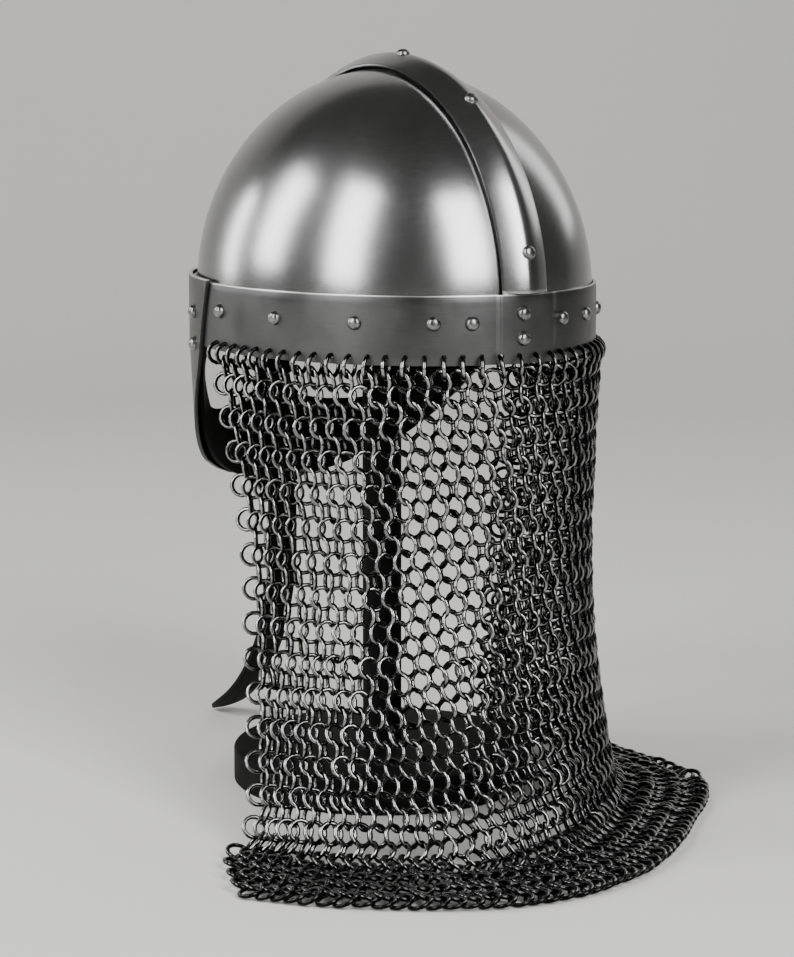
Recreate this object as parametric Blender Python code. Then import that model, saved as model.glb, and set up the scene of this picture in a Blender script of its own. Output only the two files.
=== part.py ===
"""A nasal helmet with a mail curtain, standing on a plain round stand.

The helmet faces -Y, the wearer's left is +X and the table is z = 0. The origin is the
centre of the underside of the stand. All sizes are in metres. Every curved plate is a
grid of points laid on one shared skull shape, so the pieces follow one another.
"""
import math

import bmesh
import bpy
from mathutils import Vector

# Clearance kept between neighbouring pieces
GAP = 0.0003

# Brow band, an oval hoop of sheet
BAND_DEPTH = 0.240
BAND_WIDTH = 0.200
BAND_BOTTOM = 0.240
BAND_HEIGHT = 0.0345
SHEET = 0.0016
HELMET_BACK = 0.010
HOLE_SIZE = 0.0026
HOLE_RISE = 0.0042
HOLE_PITCH = 0.0094

# Dome
DOME_EQUATOR = 0.270
DOME_RISE = 0.114
DOME_SKIRT = 0.018
DOME_SLIM = 0.004
DOME_COLUMNS = 44
DOME_ROWS = 9

# Ridge strap that runs from the back to the front over the dome
STRAP_WIDTH = 0.026
CREASE_RISE = 0.005
CREASE_GROW = 0.05
STRAP_STATIONS = 34

# Face guard with its two eye openings and the nasal
GUARD_SHEET = 0.002
GUARD_TOP = 0.0015
GUARD_REAR = 0.152
GUARD_STEP = 0.013
GUARD_REAR_DROP = 0.002
GUARD_CORNER = 0.075
GUARD_CURVE = 1.2
GUARD_LEAN = 0.07
GUARD_CHEEK = 0.168
GUARD_BOTTOM = 0.156
NASAL_HALF = 0.010
NASAL_DROP = 0.019
EYE_INNER = 0.0095
EYE_OUTER = 0.067
EYE_BOTTOM = 0.195
EYE_TOP = 0.232

# Mail curtain, which is one solid here
MAIL_THICK = 0.003
MAIL_EDGE = 98.5
MAIL_LOW_LEFT = 66.0
MAIL_LOW_RIGHT = 116.0
MAIL_HEM_LEFT = 57.0
MAIL_HEM_RIGHT = 110.0
MAIL_BEND = 0.014
FLARE_START = 0.42
FLARE_LEAST = 0.010
FLARE_MOST = 0.044
REACH_LEAST = 0.035
REACH_BACK = 0.060
REACH_MOST = 0.116
MAIL_PINCH = 0.004
MAIL_FOLD = 0.0014
MAIL_COLUMNS = 52

# Rivets
RIVET_SIZE = 0.0072
RIVET_RISE = 0.0030
RIVET_SIDES = 10

# Stand
BASE_SIZE = 0.162
BASE_THICK = 0.019
BASE_EDGE = 0.002
POST_SIZE = 0.021
HEAD_SIZE = 0.090
HEAD_THICK = 0.032
HEAD_ROUND = 0.050

# Chin strap
CHIN_WIDTH = 0.018
CHIN_THICK = 0.003
CHIN_REACH = 0.110
CHIN_LOW = 0.161
CHIN_TOP = 0.266
CHIN_INSET = 0.0085
TAIL_TOP = 0.172
TAIL_BEND = 0.110
TAIL_LENGTH = 0.0785
TAIL_TIP = 0.007

HALF_A = BAND_DEPTH / 2
HALF_B = BAND_WIDTH / 2
BAND_TOP = BAND_BOTTOM + BAND_HEIGHT
# The dome stands inside the band; the strap ends go between the two
DOME_IN = -(SHEET + GAP + 0.0001)
STRAP_OFF = GAP + 0.0001
LAP = STRAP_OFF + SHEET + GAP + DOME_IN + SHEET
LAP_HALF = math.degrees((STRAP_WIDTH / 2 + 0.0022) / HALF_B)
LAP_RUN = math.degrees(0.007 / HALF_B)

STEEL = ("polished steel", (0.42, 0.43, 0.45), 1.0, 0.22)
DARK_STEEL = ("dark steel", (0.22, 0.22, 0.24), 1.0, 0.36)
RIVET_STEEL = ("rivet steel", (0.45, 0.45, 0.47), 1.0, 0.25)
MAIL_STEEL = ("mail steel", (0.16, 0.16, 0.18), 1.0, 0.40)
BLACK_PAINT = ("black paint", (0.012, 0.012, 0.012), 0.0, 0.55)
BLACK_LEATHER = ("black leather", (0.015, 0.013, 0.012), 0.0, 0.60)


def surface(finish):
    """Return the material of that finish, made once."""
    name, colour, metal, rough = finish
    found = bpy.data.materials.get(name)
    if found:
        return found
    made = bpy.data.materials.new(name)
    made.use_nodes = True
    shader = made.node_tree.nodes["Principled BSDF"]
    shader.inputs["Base Color"].default_value = (*colour, 1.0)
    shader.inputs["Metallic"].default_value = metal
    shader.inputs["Roughness"].default_value = rough
    made.diffuse_color = (*colour, 1.0)
    return made


def finish_piece(name, bm, finish):
    """Close a bmesh into a named object with its material."""
    bmesh.ops.remove_doubles(bm, verts=bm.verts[:], dist=0.000001)
    bmesh.ops.triangulate(bm, faces=bm.faces[:])
    bmesh.ops.recalc_face_normals(bm, faces=bm.faces[:])
    mesh = bpy.data.meshes.new(name)
    bm.to_mesh(mesh)
    bm.free()
    mesh.materials.append(surface(finish))
    made = bpy.data.objects.new(name, mesh)
    bpy.context.scene.collection.objects.link(made)
    return made


def plate(name, outer, inner, finish, closed=False, poles=None):
    """Make one solid between two grids of points, row by row."""
    bm = bmesh.new()
    grids = []
    for grid in (outer, inner):
        grids.append([[bm.verts.new(point) for point in row] for row in grid])
    rows = len(outer)
    count = len(outer[0])
    steps = count if closed else count - 1
    for side, grid in enumerate(grids):
        for low, high in zip(grid, grid[1:]):
            for j in range(steps):
                k = (j + 1) % count
                bm.faces.new((low[j], low[k], high[k], high[j]))
        if poles:
            pole = bm.verts.new(poles[side])
            for j in range(steps):
                bm.faces.new((grid[-1][j], grid[-1][(j + 1) % count], pole))
    out, ins = grids
    for j in range(steps):
        k = (j + 1) % count
        bm.faces.new((out[0][j], out[0][k], ins[0][k], ins[0][j]))
        if not poles:
            bm.faces.new((out[-1][j], out[-1][k], ins[-1][k], ins[-1][j]))
    if not closed:
        for j in (0, count - 1):
            for i in range(rows - 1):
                bm.faces.new((out[i][j], out[i + 1][j], ins[i + 1][j], ins[i][j]))
    return finish_piece(name, bm, finish)


def oval(turn, off, z):
    """Point of the band oval at a turn in degrees from the back, + to the wearer's left."""
    angle = math.radians(turn)
    return Vector((
        (HALF_B + off) * math.sin(angle),
        HELMET_BACK + (HALF_A + off) * math.cos(angle),
        z,
    ))


def oval_normal(turn):
    """Outward direction of the band oval at that turn."""
    angle = math.radians(turn)
    return Vector((math.sin(angle) / HALF_B, math.cos(angle) / HALF_A, 0.0)).normalized()


def arc_table():
    """Return the run along the band from the front, for each tenth of a degree."""
    runs = [0.0]
    last = oval(180.0, 0.0, 0.0)
    for step in range(1, 1801):
        here = oval(180.0 - step / 10, 0.0, 0.0)
        runs.append(runs[-1] + (here - last).length)
        last = here
    return runs


RUNS = arc_table()


def turn_at(run):
    """Turn from the back of a point that lies this run from the front, + to the left."""
    size = abs(run)
    low = 0
    high = len(RUNS) - 1
    while high - low > 1:
        mid = (low + high) // 2
        if RUNS[mid] > size:
            high = mid
        else:
            low = mid
    part = (size - RUNS[low]) / (RUNS[high] - RUNS[low])
    turn = 180.0 - (low + part) / 10
    return turn if run >= 0 else -turn


def run_at(turn):
    """Run from the front of a turn measured from the back."""
    place = (180.0 - abs(turn)) * 10
    low = min(int(place), len(RUNS) - 2)
    run = RUNS[low] + (RUNS[low + 1] - RUNS[low]) * (place - low)
    return run if turn >= 0 else -run


def lift(turn):
    """How far the band stands out over the two strap ends."""
    size = abs(turn)
    size = min(size, 180.0 - size)
    if size <= LAP_HALF:
        return LAP
    if size >= LAP_HALF + LAP_RUN:
        return 0.0
    return LAP * (1.0 - (size - LAP_HALF) / LAP_RUN)


def skull(unit, off, drop=0.0):
    """Point of the dome's outside for a unit direction, moved out by off."""
    squeeze = 1.0 - DOME_SLIM * 2.0 * unit.z * math.sqrt(max(0.0, 1.0 - unit.z**2))
    side = HALF_B + DOME_IN
    depth = HALF_A + DOME_IN
    point = Vector((
        side * unit.x * squeeze,
        HELMET_BACK + depth * unit.y * squeeze,
        DOME_EQUATOR + DOME_RISE * unit.z - drop,
    ))
    out = Vector((unit.x / side, unit.y / depth, unit.z / DOME_RISE)).normalized()
    return point + out * off


def make_dome():
    """Make the hollow skull of the helmet."""
    grids = []
    poles = []
    for off in (0.0, -SHEET):
        rows = []
        for drop in (DOME_SKIRT, 0.0):
            row = []
            for j in range(DOME_COLUMNS):
                angle = 2 * math.pi * j / DOME_COLUMNS
                row.append(skull(Vector((math.sin(angle), math.cos(angle), 0)), off, drop))
            rows.append(row)
        for i in range(1, DOME_ROWS):
            up = math.pi / 2 * i / DOME_ROWS
            row = []
            for j in range(DOME_COLUMNS):
                angle = 2 * math.pi * j / DOME_COLUMNS
                flat = math.cos(up)
                unit = Vector((flat * math.sin(angle), flat * math.cos(angle), math.sin(up)))
                row.append(skull(unit, off))
            rows.append(row)
        grids.append(rows)
        poles.append(skull(Vector((0, 0, 1)), off))
    plate("dome", grids[0], grids[1], STEEL, closed=True, poles=poles)


def crease_start():
    """Path angle just over the band, where the strap's crease starts."""
    return math.asin((BAND_TOP + 0.001 - DOME_EQUATOR) / DOME_RISE)


def crease(place):
    """Rise of the strap's crease at a path angle from the back, in radians."""
    side = min(place, math.pi - place)
    return CREASE_RISE * min(1.0, max(0.0, (side - crease_start()) / CREASE_GROW))


def strap_point(place, side, off, drop=0.0):
    """Point over the dome at a path angle from the back and a sideways share -1..1."""
    across = side * STRAP_WIDTH / 2 / HALF_B
    keep = math.sqrt(1.0 - across**2)
    unit = Vector((across, keep * math.cos(place), keep * math.sin(place)))
    return skull(unit, off + crease(place) * (1.0 - abs(side)), drop)


def make_ridge_strap():
    """Make the creased strap over the dome, with its two ends under the band."""
    places = [(0.0, DOME_SKIRT), (0.0, 0.004)]
    start = crease_start()
    spots = [0.0, start, start + CREASE_GROW, math.pi - start - CREASE_GROW]
    spots += [math.pi - start, math.pi]
    free = math.pi - 2 * (start + CREASE_GROW)
    for i in range(1, STRAP_STATIONS):
        spots.append(start + CREASE_GROW + free * i / STRAP_STATIONS)
    places += [(spot, 0.0) for spot in sorted(spots)]
    places.append((math.pi, 0.004))
    places.append((math.pi, DOME_SKIRT))
    grids = []
    for off in (STRAP_OFF + SHEET, STRAP_OFF):
        rows = []
        for place, drop in places:
            rows.append([strap_point(place, s / 2, off, drop) for s in (-2, -1, 0, 1, 2)])
        grids.append(rows)
    plate("ridge_strap", grids[0], grids[1], STEEL)


def band_turns():
    """Turns of the band's columns, and whether a hole stands in the column after each."""
    reach = MAIL_EDGE
    count = max(8, int(2 * (run_at(0.0) - run_at(reach)) / HOLE_PITCH))
    back = 2 * (run_at(0.0) - run_at(reach))
    turns = []
    for i in range(count + 1):
        run = run_at(0.0) - back * i / count + back / 2
        half = run_at(0.0)
        turn = turn_at(run) if run <= half else -turn_at(2 * half - run)
        turns.append((turn, i < count))
    pairs = sorted(turn for turn, _ in turns)
    # the columns next to the lap's two bends move onto them
    taken = set()
    for mark in (LAP_HALF, LAP_HALF + LAP_RUN):
        for side in (1, -1):
            free = [i for i in range(1, count) if i not in taken]
            near = min(free, key=lambda i: abs(pairs[i] - mark * side))
            taken.add(near)
            pairs[near] = mark * side
    pairs.sort()
    fronts = []
    left = pairs[-1]
    marks = [180.0 - LAP_HALF - LAP_RUN, 180.0 - LAP_HALF, 180.0 - LAP_HALF / 2, 180.0]
    steps = 9
    for i in range(1, steps):
        fronts.append(left + (marks[0] - left) * i / steps)
    fronts += marks
    columns = [(turn, True) for turn in pairs[:-1]] + [(pairs[-1], False)]
    columns += [(turn, False) for turn in fronts]
    columns += [(360.0 - turn, False) for turn in reversed(fronts[:-1])]
    return columns


def make_band():
    """Make the brow band with a hole for each hooking ring of the mail."""
    columns = band_turns()
    count = len(columns)
    cell = BAND_BOTTOM + HOLE_RISE * 2
    levels = [BAND_BOTTOM, cell, BAND_TOP - 0.0008, BAND_TOP]
    bm = bmesh.new()
    grids = []
    for off in (0.0, -SHEET):
        grid = []
        for level, z in enumerate(levels):
            trim = 0.0005 if level == 3 and off == 0.0 else 0.0
            row = []
            for turn, _ in columns:
                spot = turn if turn <= 180.0 else turn - 360.0
                row.append(bm.verts.new(oval(spot, off - trim + lift(spot), z)))
            grid.append(row)
        grids.append(grid)
    rings = []
    for grid in grids:
        layer = []
        for level in range(3):
            for j in range(count):
                k = (j + 1) % count
                corners = [grid[level][j], grid[level][k], grid[level + 1][k], grid[level + 1][j]]
                if level or not columns[j][1]:
                    bm.faces.new(corners)
                    continue
                layer.append(hole_cell(bm, corners))
        rings.append(layer)
    for out, ins in zip(*rings):
        for i in range(6):
            k = (i + 1) % 6
            bm.faces.new((out[i], out[k], ins[k], ins[i]))
    for level in (0, 3):
        for j in range(count):
            k = (j + 1) % count
            out = grids[0][level]
            ins = grids[1][level]
            bm.faces.new((out[j], out[k], ins[k], ins[j]))
    finish_piece("brow_band", bm, DARK_STEEL)


def hole_cell(bm, corners):
    """Fill one square cell round a six-sided hole; return the hole's corners."""
    low = (corners[0].co + corners[1].co) / 2
    high = (corners[3].co + corners[2].co) / 2
    centre = (low + high) / 2
    across = (corners[1].co - corners[0].co).normalized()
    up = (high - low).normalized()
    ring = []
    for i in range(6):
        angle = math.radians(60 * i)
        spot = centre + (across * math.cos(angle) + up * math.sin(angle)) * HOLE_SIZE / 2
        ring.append(bm.verts.new(spot))
    a, b, c, d = corners
    for face in (
        (b, ring[0], ring[5]),
        (a, b, ring[5], ring[4]),
        (a, ring[4], ring[3]),
        (d, a, ring[3]),
        (d, ring[3], ring[2]),
        (c, d, ring[2], ring[1]),
        (c, ring[1], ring[0]),
        (b, c, ring[0]),
    ):
        bm.faces.new(face)
    return ring


def guard_outline():
    """Right half of the guard's outline as run and height, from the top to the nasal."""
    top = BAND_TOP + GUARD_TOP
    bend = BAND_BOTTOM - GUARD_REAR_DROP
    cheek = GUARD_REAR - GUARD_STEP
    points = [(0.0, top), (GUARD_REAR, top), (cheek, bend)]
    flat = cheek - GUARD_CORNER
    for i in range(1, 10):
        angle = math.pi / 2 * i / 9
        run = flat + GUARD_CORNER * max(0.0, math.cos(angle)) ** (2 / GUARD_CURVE)
        fall = math.sin(angle) ** (2 / GUARD_CURVE)
        points.append((run, bend - (bend - GUARD_CHEEK) * fall))
    for share, fall in ((0.77, 0.50), (0.56, 0.86), (0.40, 1.0)):
        points.append((flat * share, GUARD_CHEEK - (GUARD_CHEEK - GUARD_BOTTOM) * fall))
    points.append((NASAL_HALF * 1.1, GUARD_BOTTOM - NASAL_DROP * 0.5))
    points.append((NASAL_HALF * 0.7, GUARD_BOTTOM - NASAL_DROP * 0.85))
    points.append((NASAL_HALF * 0.3, GUARD_BOTTOM - NASAL_DROP))
    return points


def guard_lean(turn, z):
    """How far the guard's sides lean in below the band."""
    return GUARD_LEAN * max(0.0, BAND_BOTTOM - z) * math.sin(math.radians(turn)) ** 2


def eye_outline():
    """Right eye opening as run and height, a rounded shape."""
    run = (EYE_OUTER - EYE_INNER) / 2
    rise = (EYE_TOP - EYE_BOTTOM) / 2
    centre = (EYE_OUTER + EYE_INNER) / 2
    points = []
    for i in range(18):
        angle = 2 * math.pi * i / 18
        side = math.copysign(abs(math.cos(angle)) ** 0.7, math.cos(angle))
        up = math.copysign(abs(math.sin(angle)) ** 0.7, math.sin(angle))
        points.append((centre + run * side, (EYE_TOP + EYE_BOTTOM) / 2 + rise * up))
    return points


def loop_edges(bm, points):
    """Add a closed loop of edges in the flat."""
    verts = [bm.verts.new((x, 0.0, z)) for x, z in points]
    return [bm.edges.new((verts[i], verts[(i + 1) % len(verts)])) for i in range(len(verts))]


def make_guard():
    """Make the face guard: a flat outline, cut in strips and bent round the band."""
    flat = bmesh.new()
    right = guard_outline()
    left = [(-x, z) for x, z in reversed(right[1:])]
    edges = loop_edges(flat, right + left)
    eye = eye_outline()
    edges += loop_edges(flat, eye)
    edges += loop_edges(flat, [(-x, z) for x, z in eye])
    bmesh.ops.triangle_fill(flat, edges=edges, use_beauty=True, use_dissolve=False)
    cuts = [180.0 - LAP_HALF - LAP_RUN, 180.0 - LAP_HALF, 180.0 - LAP_HALF / 2]
    stations = [run_at(turn) for turn in cuts] + [0.0]
    first = stations[0]
    steps = max(6, round((GUARD_REAR - first) / 0.0105))
    stations += [first + (GUARD_REAR - first) * i / steps for i in range(1, steps)]
    for run in sorted(set(stations + [-x for x in stations])):
        parts = flat.verts[:] + flat.edges[:] + flat.faces[:]
        bmesh.ops.bisect_plane(
            flat, geom=parts, dist=0.00001, plane_co=(run, 0, 0), plane_no=(1, 0, 0))
    bm = bmesh.new()
    flat.verts.ensure_lookup_table()
    layers = []
    for off in (GAP + 0.0001 + GUARD_SHEET, GAP + 0.0001):
        layer = []
        for vert in flat.verts:
            turn = turn_at(vert.co.x)
            set_out = off + lift(turn) - guard_lean(turn, vert.co.z)
            layer.append(bm.verts.new(oval(turn, set_out, vert.co.z)))
        layers.append(layer)
    for face in flat.faces:
        for layer in layers:
            bm.faces.new([layer[vert.index] for vert in face.verts])
    for edge in flat.edges:
        if len(edge.link_faces) == 1:
            a, b = (vert.index for vert in edge.verts)
            bm.faces.new((layers[0][a], layers[0][b], layers[1][b], layers[1][a]))
    flat.free()
    finish_piece("face_guard", bm, DARK_STEEL)


def ease(share):
    """Smooth step from 0 to 1."""
    share = min(1.0, max(0.0, share))
    return share * share * (3.0 - 2.0 * share)


def mail_turn(part, fall):
    """Turn of the curtain at a share across it and a share of the way down."""
    top = MAIL_EDGE - 2 * MAIL_EDGE * part
    low = MAIL_LOW_LEFT - (MAIL_LOW_LEFT + MAIL_LOW_RIGHT) * part
    drawn = fall + 0.08 * math.sin(math.tau * fall) * (1.0 - fall)
    return top + (low - top) * drawn


def mail_off(turn, fall):
    """How far the hanging curtain stands off the band's oval."""
    most = FLARE_LEAST + (FLARE_MOST - FLARE_LEAST) * ease((turn + 45.0) / 70.0)
    grow = max(0.0, (fall - FLARE_START) / (1.0 - FLARE_START)) ** 1.8
    pinch = MAIL_PINCH * math.sin(math.pi * fall) * ease(-turn / 50.0)
    fold = MAIL_FOLD * fall**2 * math.sin(math.radians(9 * turn))
    return most * grow - pinch + fold - SHEET / 2


def mail_reach(turn):
    """How far the hem lies out from the band's oval."""
    reach = REACH_BACK + (REACH_MOST - REACH_BACK) * ease((turn + 35.0) / 60.0)
    return reach - (REACH_BACK - REACH_LEAST) * ease((-turn - 50.0) / 32.0)


def mail_point(part, row):
    """Middle of the curtain at a share across; row 0..1 hangs, 1..2 bends, 2..3 lies."""
    foot = MAIL_THICK / 2 + MAIL_BEND
    top = BAND_BOTTOM - GAP
    if row <= 1.0:
        turn = mail_turn(part, row)
        return oval(turn, mail_off(turn, row), top + (foot - top) * row)
    turn = mail_turn(part, 1.0)
    near = mail_off(turn, 0.96)
    off = mail_off(turn, 1.0)
    slope = (off - near) / (0.04 * (top - foot))
    low = MAIL_THICK / 2
    corner = off + slope * MAIL_BEND
    share = min(1.0, row - 1.0)
    keep = 1.0 - share
    bent = keep * keep * off + 2 * keep * share * corner + share**2 * (corner + MAIL_BEND)
    level = oval(turn, bent, low + MAIL_BEND * keep * keep)
    if row > 2.0:
        hem_turn = MAIL_HEM_LEFT - (MAIL_HEM_LEFT + MAIL_HEM_RIGHT) * part
        hem = oval(hem_turn, mail_reach(hem_turn), low)
        level = level.lerp(hem, row - 2.0)
    return level


def mail_normal(part, row):
    """Outward direction of the curtain; straight up where it lies."""
    if row >= 2.0:
        return Vector((0.0, 0.0, 1.0))
    step = 0.01
    low = max(0.0, part - step)
    high = min(1.0, part + step)
    across = mail_point(high, row) - mail_point(low, row)
    down = mail_point(part, min(2.0, row + step)) - mail_point(part, max(0.0, row - step))
    return down.cross(across).normalized()


def make_mail():
    """Make the mail curtain: a hanging wall whose foot lies out on the table."""
    rows = [i / 8 for i in range(9)] + [1.25, 1.5, 1.75, 2.0, 2.35, 2.7, 3.0]
    outer = []
    inner = []
    for row in rows:
        outs = []
        ins = []
        for j in range(MAIL_COLUMNS + 1):
            part = j / MAIL_COLUMNS
            point = mail_point(part, row)
            out = mail_normal(part, row) * MAIL_THICK / 2
            if out.dot(oval_normal(mail_turn(part, min(row, 1.0))) + Vector((0, 0, 1))) < 0:
                out = -out
            outs.append(point + out)
            back = point - out
            back.z = max(0.0, back.z)
            ins.append(back)
        outer.append(outs)
        inner.append(ins)
    plate("mail_aventail", outer, inner, MAIL_STEEL)


def make_rivet(name, seat, out, along, slope=0.0):
    """Make one domed rivet head that sits over a seat; slope is for a crease under it."""
    side = out.cross(along).normalized()
    bm = bmesh.new()
    radius = RIVET_SIZE / 2
    rings = []
    for share, rise in ((1.0, 0.0), (1.0, 0.22), (0.74, 0.74), (0.36, 0.96)):
        ring = []
        for i in range(RIVET_SIDES):
            angle = 2 * math.pi * i / RIVET_SIDES
            x = radius * share * math.cos(angle)
            y = radius * share * math.sin(angle)
            sink = slope * abs(y) if rise < 0.3 else 0.0
            spot = seat + along * x + side * y + out * (RIVET_RISE * rise - sink)
            ring.append(bm.verts.new(spot))
        rings.append(ring)
    for low, high in zip(rings, rings[1:]):
        for i in range(RIVET_SIDES):
            k = (i + 1) % RIVET_SIDES
            bm.faces.new((low[i], low[k], high[k], high[i]))
    bm.faces.new(rings[-1])
    half = RIVET_SIDES // 2
    bm.faces.new(rings[0][:half + 1])
    bm.faces.new(rings[0][half:] + rings[0][:1])
    finish_piece(name, bm, RIVET_STEEL)


def make_rivets():
    """Make the rivet heads of the band, of the guard and of the ridge strap."""
    clear = GAP + 0.00015
    up = Vector((0, 0, 1))
    spots = []
    for turn in (94.0, 71.5, 48.2, 27.3, 16.6, -15.0, -29.5, -47.0, -72.0, -94.0):
        spots.append((turn, 0.60))
    spots += [(1.4, 0.72), (1.4, 0.36)]
    for i, (turn, share) in enumerate(spots):
        z = BAND_BOTTOM + BAND_HEIGHT * share
        # the back pair stands clear of the strap end and of the lap's slope
        seat = oval(turn, lift(turn) + clear, z)
        make_rivet(f"band_rivet_{i + 1:02d}", seat, oval_normal(turn), up)
    face = GAP + 0.0001 + GUARD_SHEET + clear
    spots = [(180.0, 0.77), (180.0, 0.45)]
    for turn in (111.0, 147.0):
        spots += [(turn, 0.51), (-turn, 0.51)]
    spots += [(111.0, 0.02), (-111.0, 0.02)]
    for i, (turn, share) in enumerate(spots):
        z = BAND_BOTTOM + BAND_HEIGHT * share
        seat = oval(turn, lift(turn) + face, z)
        make_rivet(f"guard_rivet_{i + 1:02d}", seat, oval_normal(turn), up)
    slope = CREASE_RISE / (STRAP_WIDTH / 2)
    for i, place in enumerate((0.205, 0.945, 1.485, math.pi - 0.945, math.pi - 0.205)):
        seat = strap_point(place, 0.0, STRAP_OFF + SHEET + clear)
        near = strap_point(place + 0.01, 0.0, STRAP_OFF + SHEET + clear)
        far = strap_point(place - 0.01, 0.0, STRAP_OFF + SHEET + clear)
        along = (near - far).normalized()
        out = Vector((1, 0, 0)).cross(along).normalized()
        if out.z < 0:
            out = -out
        lean = slope * crease(place) / CREASE_RISE
        make_rivet(f"ridge_rivet_{i + 1:02d}", seat, out, along, lean)


def turned(name, profile, finish, sides, lean=0.0):
    """Make a solid of revolution round the stand's axis from radius and height pairs."""
    bm = bmesh.new()
    rings = []
    for radius, z in profile:
        ring = []
        for i in range(sides):
            angle = 2 * math.pi * i / sides
            ring.append(bm.verts.new((radius * math.cos(angle), radius * math.sin(angle) + lean, z)))
        rings.append(ring)
    for low, high in zip(rings, rings[1:]):
        for i in range(sides):
            k = (i + 1) % sides
            bm.faces.new((low[i], low[k], high[k], high[i]))
    bm.faces.new(rings[0])
    bm.faces.new(rings[-1])
    finish_piece(name, bm, finish)


def make_stand():
    """Make the round base and the post with its rounded head under the dome."""
    radius = BASE_SIZE / 2
    turned("stand_base", [
        (radius - BASE_EDGE / 2, 0.0),
        (radius, BASE_EDGE / 2),
        (radius, BASE_THICK - BASE_EDGE),
        (radius - BASE_EDGE, BASE_THICK),
    ], BLACK_PAINT, 56)
    # the head is rounder than the dome, so it meets it close to the top alone
    head = HEAD_SIZE / 2
    shares = (0.96, 0.84, 0.66, 0.44, 0.2)
    falls = [HEAD_ROUND - math.sqrt(HEAD_ROUND**2 - (head * s) ** 2) for s in shares]
    rooms = []
    for share, fall in zip(shares, falls):
        for y in (-head * share, head * share):
            rooms.append(dome_inside(0.0, y) + fall)
            rooms.append(dome_inside(y, 0.0) + fall)
    under = min(rooms) - GAP - 0.0006
    profile = [
        (POST_SIZE / 2, BASE_THICK + GAP),
        (POST_SIZE / 2, under - HEAD_THICK),
        (head * 0.96, under - HEAD_THICK),
        (head, under - HEAD_THICK * 0.93),
    ]
    profile += [(head * share, under - fall) for share, fall in zip(shares, falls)]
    turned("stand_post", profile, BLACK_PAINT, 28)


def dome_inside(x, y):
    """Height of the dome's inside over a level point of the stand."""
    level = math.hypot(x / (HALF_B + DOME_IN), (y - HELMET_BACK) / (HALF_A + DOME_IN))
    up = math.acos(min(1.0, level))
    for _ in range(4):
        up = math.acos(min(1.0, level / (1.0 - DOME_SLIM * math.sin(2 * up))))
    return DOME_EQUATOR + DOME_RISE * math.sin(up) - SHEET / max(0.5, math.sin(up))


def ribbon(name, stations, finish):
    """Make a strap from stations of middle, sideways half and thickness half vectors."""
    bm = bmesh.new()
    rings = []
    for middle, side, thick in stations:
        ring = []
        for a, b in ((1, 1), (-1, 1), (-1, -1), (1, -1)):
            ring.append(bm.verts.new(middle + side * a + thick * b))
        rings.append(ring)
    for low, high in zip(rings, rings[1:]):
        for i in range(4):
            k = (i + 1) % 4
            bm.faces.new((low[i], low[k], high[k], high[i]))
    bm.faces.new(rings[0])
    bm.faces.new(rings[-1])
    finish_piece(name, bm, finish)


def chin_point(along, across):
    """Point on the chin strap's middle surface and its outward direction."""
    angle = along * math.pi / 2
    run = CHIN_REACH * math.sin(angle)
    z = CHIN_LOW + (CHIN_TOP - CHIN_LOW) * (1.0 - math.cos(angle))
    slope = Vector((CHIN_REACH * math.cos(angle), (CHIN_TOP - CHIN_LOW) * math.sin(angle)))
    slope.normalize()
    run += -slope.y * across
    z += slope.x * across
    turn = turn_at(run)
    wall = -2 * SHEET - 3 * GAP - CHIN_THICK / 2 - 0.0003
    off = wall + (-CHIN_INSET - wall) * math.cos(min(1.0, abs(along)) * math.pi / 2) ** 2
    return oval(turn, off, z), oval_normal(turn)


def make_chin_strap():
    """Make the loop under the chin and its free tail, which curls out on the table."""
    stations = []
    count = 26
    for i in range(count + 1):
        along = -1.0 + 2.0 * i / count
        middle, out = chin_point(along, 0.0)
        left, _ = chin_point(along, CHIN_WIDTH / 2)
        right, _ = chin_point(along, -CHIN_WIDTH / 2)
        side = (left - right) / 2
        stations.append((middle, side, out * CHIN_THICK / 2))
    ribbon("chin_strap", stations, BLACK_LEATHER)
    stations = []
    y = HELMET_BACK - HALF_A + CHIN_INSET - CHIN_THICK - GAP
    path = [(y, TAIL_TOP), (y, (TAIL_TOP + TAIL_BEND) / 2), (y, TAIL_BEND)]
    low = CHIN_THICK / 2
    ends = [
        (y, TAIL_BEND),
        (y - TAIL_LENGTH * 0.04, TAIL_BEND * 0.55),
        (y - TAIL_LENGTH * 0.43, TAIL_BEND * 0.15),
        (y - TAIL_LENGTH, low + 0.0006),
    ]
    for i in range(1, 15):
        t = i / 14
        s = 1.0 - t
        weights = (s**3, 3 * s * s * t, 3 * s * t * t, t**3)
        path.append(tuple(sum(w * p[k] for w, p in zip(weights, ends)) for k in (0, 1)))
    for i, (y, z) in enumerate(path):
        before = path[max(0, i - 1)]
        after = path[min(len(path) - 1, i + 1)]
        run = Vector((0, after[0] - before[0], after[1] - before[1])).normalized()
        half = CHIN_WIDTH / 2
        if i > len(path) - 4:
            half += (TAIL_TIP / 2 - half) * (i - len(path) + 4) / 3
        thick = Vector((1, 0, 0)).cross(run).normalized() * CHIN_THICK / 2
        stations.append((Vector((0, y, z)), Vector((half, 0, 0)), thick))
    ribbon("chin_strap_tail", stations, BLACK_LEATHER)


def main():
    """Clear the file and make every piece."""
    for old in list(bpy.data.objects):
        bpy.data.objects.remove(old, do_unlink=True)
    make_dome()
    make_ridge_strap()
    make_band()
    make_guard()
    make_mail()
    make_rivets()
    make_stand()
    make_chin_strap()


main()
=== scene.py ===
"""Looks of a nasal helmet with a mail curtain that stands on a plain round stand.

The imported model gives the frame: every piece here takes its place and size from it. The
helmet faces -Y, the wearer's left is +X, and lengths are in metres. Turns go round the
brow band in degrees from the back, positive towards the wearer's left.
"""

import logging
import math
import random
from dataclasses import dataclass, field
from enum import Enum
from typing import Callable, Optional, Sequence, Union

import bmesh
import bpy
import numpy as np
from bmesh.types import BMesh
from bpy.types import Material
from mathutils import Matrix, Vector


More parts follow.
